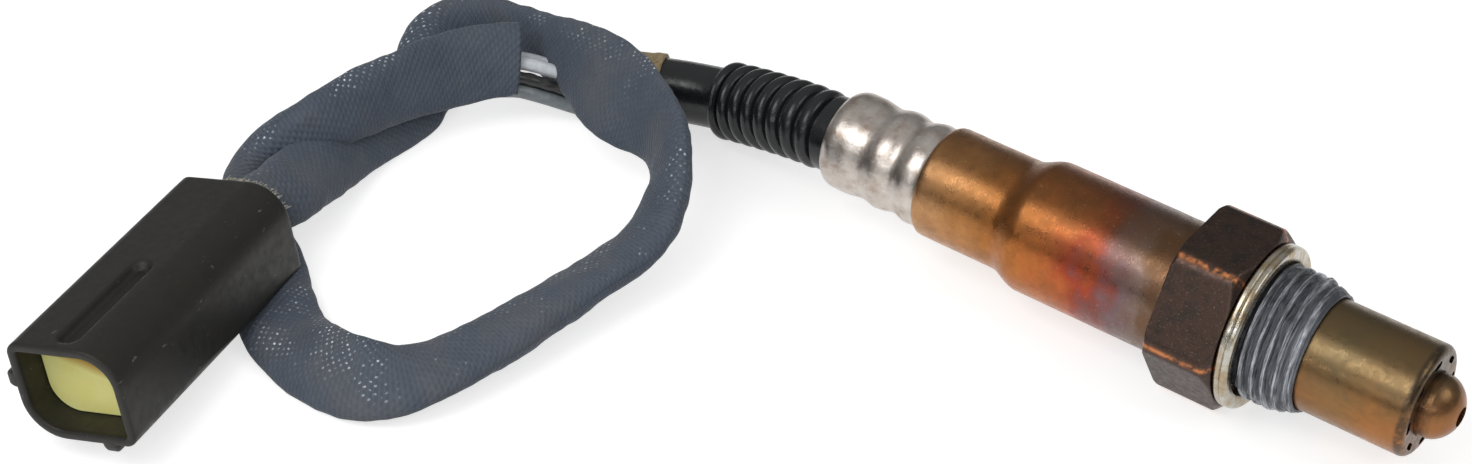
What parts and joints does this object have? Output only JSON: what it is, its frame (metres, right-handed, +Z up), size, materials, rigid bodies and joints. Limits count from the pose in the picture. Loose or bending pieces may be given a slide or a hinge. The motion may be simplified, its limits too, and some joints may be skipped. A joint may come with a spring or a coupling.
{
  "type": "oxygen sensor",
  "caption": "Threaded exhaust oxygen sensor with hexagon, slotted protection tube, stepped sleeve, ribbed boot and a woven pigtail harness that ends in a rectangular plug.",
  "frame": {"origin": "on the thread axis, in the plane of the gasket's sealing face", "axes": "+X along the thread axis towards the probe tip, +Z up, with the sensor lying on a flat of its hexagon"},
  "size_m": [0.1608, 0.1128, 0.022],
  "materials": {
    "steel_hexagon": "dark heat-tinted steel",
    "steel_gasket": "satin, faintly straw-tinted",
    "steel_tube": "heat-tinted bronze and olive",
    "steel_sleeve": "satin, heat-tinted from gold to purple",
    "steel_collar": "satin with fine scratches",
    "ceramic": "fired ceramic and pressed talc",
    "copper_alloy": "plated contact metal",
    "boot_rubber": "smooth glossy black",
    "band_tape": "matt tan tape",
    "sleeve_fabric": "fine woven charcoal",
    "wire_white": "satin",
    "wire_black": "satin",
    "wire_grey": "satin",
    "plug_plastic": "satin moulded",
    "retainer_plastic": "satin moulded yellow",
    "seal_rubber": "soft matt"
  },
  "bodies": {
    "root": {"sensor_housing": "steel_hexagon", "sealing_gasket": "steel_gasket", "outer_protection_tube": "steel_tube", "inner_protection_tube": "steel_tube", "sensing_element": "ceramic", "front_ceramic_bush": "ceramic", "talc_packing": "ceramic", "rear_ceramic_bush": "ceramic", "packing_ring": "steel_collar", "protective_sleeve": "steel_sleeve", "crimp_collar": "steel_collar", "contact_holder_upper": "ceramic", "contact_holder_lower": "ceramic", "holder_clamp_ring": "steel_collar", "contact_springs": "copper_alloy", "wire_crimps": "copper_alloy", "grommet_boot": "boot_rubber", "boot_end_band": "band_tape", "wire_white_a": "wire_white", "wire_white_b": "wire_white", "wire_black": "wire_black", "wire_grey": "wire_grey", "harness_sleeve": "sleeve_fabric", "connector_housing": "plug_plastic", "terminal_retainer": "retainer_plastic", "terminals": "copper_alloy", "wire_seal": "seal_rubber"}
  },
  "joints": []
}
